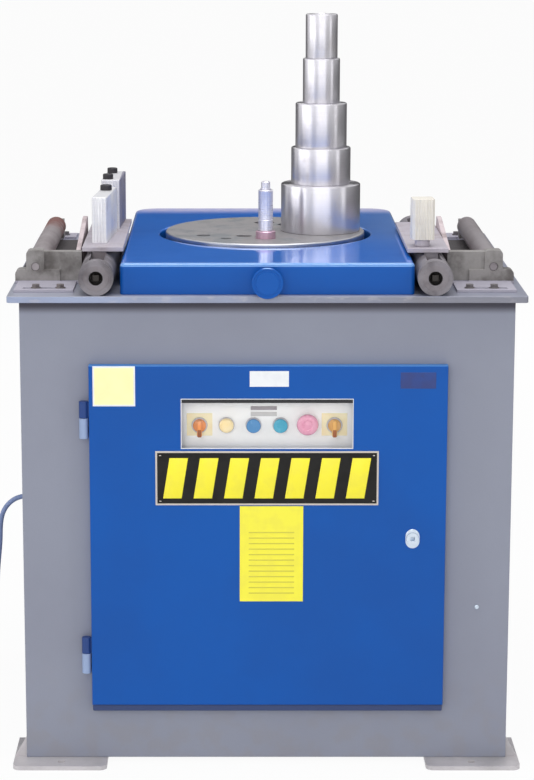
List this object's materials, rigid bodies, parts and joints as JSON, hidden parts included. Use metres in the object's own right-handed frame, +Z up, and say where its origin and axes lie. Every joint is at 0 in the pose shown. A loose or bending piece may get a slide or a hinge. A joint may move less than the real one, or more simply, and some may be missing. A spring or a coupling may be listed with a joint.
{
  "type": "rebar bending machine",
  "caption": "Floor-standing rebar bending machine: cabinet with door and push-button panel, turning disc with stacked mandrels, side slides with blocks and bar rollers.",
  "frame": {"origin": "on the floor below the middle of the cabinet, without the supply cord", "axes": "+Z up, the door and the controls face -Y, +X to the right as seen by the operator"},
  "size_m": [1.219, 0.8869, 1.378],
  "materials": {
    "grey_paint": "smooth satin enamel",
    "grey_dark_paint": "satin enamel",
    "blue_paint": "glossy enamel",
    "zinc_steel": "galvanised, matt",
    "cast_grey": "painted casting",
    "bright_steel": "turned and ground",
    "dark_steel": "oiled",
    "bronze": "machined",
    "cream_plate": "printed plate",
    "black_rubber_mat": "moulded",
    "yellow_plate": "printed plate",
    "white_plastic": "gloss",
    "black_plastic": "moulded",
    "blue_plastic": "gloss",
    "teal_plastic": "gloss",
    "red_plastic": "gloss",
    "rubber": "matt"
  },
  "bodies": {
    "machine": {"cabinet_shell": "grey_paint", "foot_plates": "zinc_steel", "top_plate": "grey_paint", "bed_cover": "blue_paint", "front_cap": "blue_paint", "gearbox_housing": "cast_grey", "gearbox_lid": "cast_grey", "disc_bearing_housing": "cast_grey", "bearings": "bright_steel", "motor_hanger": "dark_steel", "motor_body": "grey_dark_paint", "drive_belts": "rubber", "limit_switches": "black_plastic", "electric_box": "grey_paint", "contactors": "black_plastic", "control_panel": "white_plastic", "control_collars": "black_plastic", "hinge_posts": "grey_paint", "rear_cover": "grey_paint", "guide_tubes": "cast_grey", "roller_brackets": "cast_grey", "bar_cheeks": "dark_steel", "fasteners": "dark_steel", "cord_gland": "black_plastic", "power_cord": "rubber", "cord_coil": "rubber", "cord_tail": "rubber", "cord_plug": "black_plastic"},
    "door_leaf": {"door": "blue_paint", "door_knuckles": "blue_paint", "door_plates": "yellow_plate"},
    "door_lock": {"lock_insert": "dark_steel"},
    "selector_left": {"selector_left": "black_plastic"},
    "selector_right": {"selector_right": "black_plastic"},
    "button_blue": {"button_blue": "blue_plastic"},
    "button_teal": {"button_teal": "teal_plastic"},
    "emergency_button": {"emergency_button": "red_plastic"},
    "disc_group": {"bending_disc": "dark_steel", "main_shaft": "dark_steel", "main_gear": "dark_steel"},
    "layshaft_group": {"layshaft": "dark_steel"},
    "input_group": {"input_shaft": "dark_steel", "driven_pulley": "cast_grey"},
    "motor_rotor": {"motor_shaft": "dark_steel"},
    "slide_left": {"slide_left": "dark_steel"},
    "slide_right": {"slide_right": "dark_steel"},
    "feed_screw_left": {"feed_screw_left": "bright_steel"},
    "feed_screw_right": {"feed_screw_right": "bright_steel"},
    "block_left_front": {"block_left_front": "bright_steel"},
    "block_left_rear": {"block_left_rear": "bright_steel"},
    "block_right": {"block_right": "bright_steel"},
    "bar_roller_left": {"bar_roller_left": "bright_steel"},
    "bar_roller_right": {"bar_roller_right": "bright_steel"},
    "bending_pin": {"bending_pin": "dark_steel"},
    "pin_sleeve": {"pin_sleeve": "bright_steel"},
    "mandrel_1": {"mandrel_1": "bright_steel"},
    "mandrel_2": {"mandrel_2": "bright_steel"},
    "mandrel_3": {"mandrel_3": "bright_steel"},
    "mandrel_4": {"mandrel_4": "bright_steel"},
    "mandrel_5": {"mandrel_5": "bright_steel"}
  },
  "joints": [
    {"name": "disc_spin", "type": "hinge", "parent": "machine", "child": "disc_group", "pos_m": [0, 0, 0.947], "axis": [0, 0, 1], "continuous": true},
    {"name": "layshaft_spin", "type": "hinge", "parent": "machine", "child": "layshaft_group", "pos_m": [0.225, 0, 0.81], "axis": [0, 0, 1], "continuous": true},
    {"name": "input_spin", "type": "hinge", "parent": "machine", "child": "input_group", "pos_m": [0.225, 0.15, 0.78], "axis": [0, 0, 1], "continuous": true},
    {"name": "motor_spin", "type": "hinge", "parent": "machine", "child": "motor_rotor", "pos_m": [-0.3, 0.19, 0.65], "axis": [0, 0, 1], "continuous": true},
    {"name": "door_hinge", "type": "hinge", "parent": "machine", "child": "door_leaf", "pos_m": [-0.336, -0.4015, 0.44], "axis": [0, 0, -1], "range_deg": [0, 110]},
    {"name": "lock_turn", "type": "hinge", "parent": "door_leaf", "child": "door_lock", "pos_m": [0.269, -0.402, 0.44], "axis": [0, -1, 0], "range_deg": [0, 90]},
    {"name": "selector_left_turn", "type": "hinge", "parent": "machine", "child": "selector_left", "pos_m": [-0.124, -0.397, 0.65], "axis": [0, 1, 0], "range_deg": [0, 90]},
    {"name": "selector_right_turn", "type": "hinge", "parent": "machine", "child": "selector_right", "pos_m": [0.124, -0.397, 0.65], "axis": [0, 1, 0], "range_deg": [0, 90]},
    {"name": "button_blue_press", "type": "slide", "parent": "machine", "child": "button_blue", "axis": [0, 1, 0], "range_m": [0, 0.004], "stiffness_N_per_m": 400},
    {"name": "button_teal_press", "type": "slide", "parent": "machine", "child": "button_teal", "axis": [0, 1, 0], "range_m": [0, 0.004], "stiffness_N_per_m": 400},
    {"name": "emergency_press", "type": "slide", "parent": "machine", "child": "emergency_button", "axis": [0, 1, 0], "range_m": [0, 0.006]},
    {"name": "slide_left_feed", "type": "slide", "parent": "machine", "child": "slide_left", "axis": [0, 1, 0], "range_m": [-0.06, 0.06]},
    {"name": "feed_screw_left_turn", "type": "hinge", "parent": "machine", "child": "feed_screw_left", "pos_m": [-0.311, 0, 0.925], "axis": [0, 1, 0], "range_deg": [-4330, 4330]},
    {"name": "bar_roller_left_spin", "type": "hinge", "parent": "machine", "child": "bar_roller_left", "pos_m": [-0.431, 0, 0.925], "axis": [0, 1, 0], "continuous": true},
    {"name": "slide_right_feed", "type": "slide", "parent": "machine", "child": "slide_right", "axis": [0, 1, 0], "range_m": [-0.06, 0.06]},
    {"name": "feed_screw_right_turn", "type": "hinge", "parent": "machine", "child": "feed_screw_right", "pos_m": [0.3045, 0, 0.925], "axis": [0, 1, 0], "range_deg": [-4330, 4330]},
    {"name": "bar_roller_right_spin", "type": "hinge", "parent": "machine", "child": "bar_roller_right", "pos_m": [0.4235, 0, 0.925], "axis": [0, 1, 0], "continuous": true},
    {"name": "block_left_front_lift", "type": "slide", "parent": "slide_left", "child": "block_left_front", "axis": [0, 0, 1], "range_m": [0, 0.12]},
    {"name": "block_left_rear_lift", "type": "slide", "parent": "slide_left", "child": "block_left_rear", "axis": [0, 0, 1], "range_m": [0, 0.12]},
    {"name": "block_right_lift", "type": "slide", "parent": "slide_right", "child": "block_right", "axis": [0, 0, 1], "range_m": [0, 0.12]},
    {"name": "bending_pin_lift", "type": "slide", "parent": "disc_group", "child": "bending_pin", "axis": [0, 0, 1], "range_m": [0, 0.15]},
    {"name": "pin_sleeve_spin", "type": "hinge", "parent": "bending_pin", "child": "pin_sleeve", "pos_m": [0, -0.109, 1.01], "axis": [0, 0, 1], "continuous": true},
    {"name": "mandrel_1_lift", "type": "slide", "parent": "disc_group", "child": "mandrel_1", "axis": [0, 0, 1], "range_m": [0, 0.15]},
    {"name": "mandrel_2_lift", "type": "slide", "parent": "mandrel_1", "child": "mandrel_2", "axis": [0, 0, 1], "range_m": [0, 0.15]},
    {"name": "mandrel_3_lift", "type": "slide", "parent": "mandrel_2", "child": "mandrel_3", "axis": [0, 0, 1], "range_m": [0, 0.15]},
    {"name": "mandrel_4_lift", "type": "slide", "parent": "mandrel_3", "child": "mandrel_4", "axis": [0, 0, 1], "range_m": [0, 0.15]},
    {"name": "mandrel_5_lift", "type": "slide", "parent": "mandrel_4", "child": "mandrel_5", "axis": [0, 0, 1], "range_m": [0, 0.15]}
  ],
  "couplings": [
    {"joint": "layshaft_spin", "follows": "disc_spin", "ratio": -4},
    {"joint": "input_spin", "follows": "disc_spin", "ratio": 16},
    {"joint": "motor_spin", "follows": "disc_spin", "ratio": 64},
    {"joint": "feed_screw_left_turn", "follows": "slide_left_feed", "rad_per_m": -1256.6},
    {"joint": "feed_screw_right_turn", "follows": "slide_right_feed", "rad_per_m": -1256.6}
  ]
}
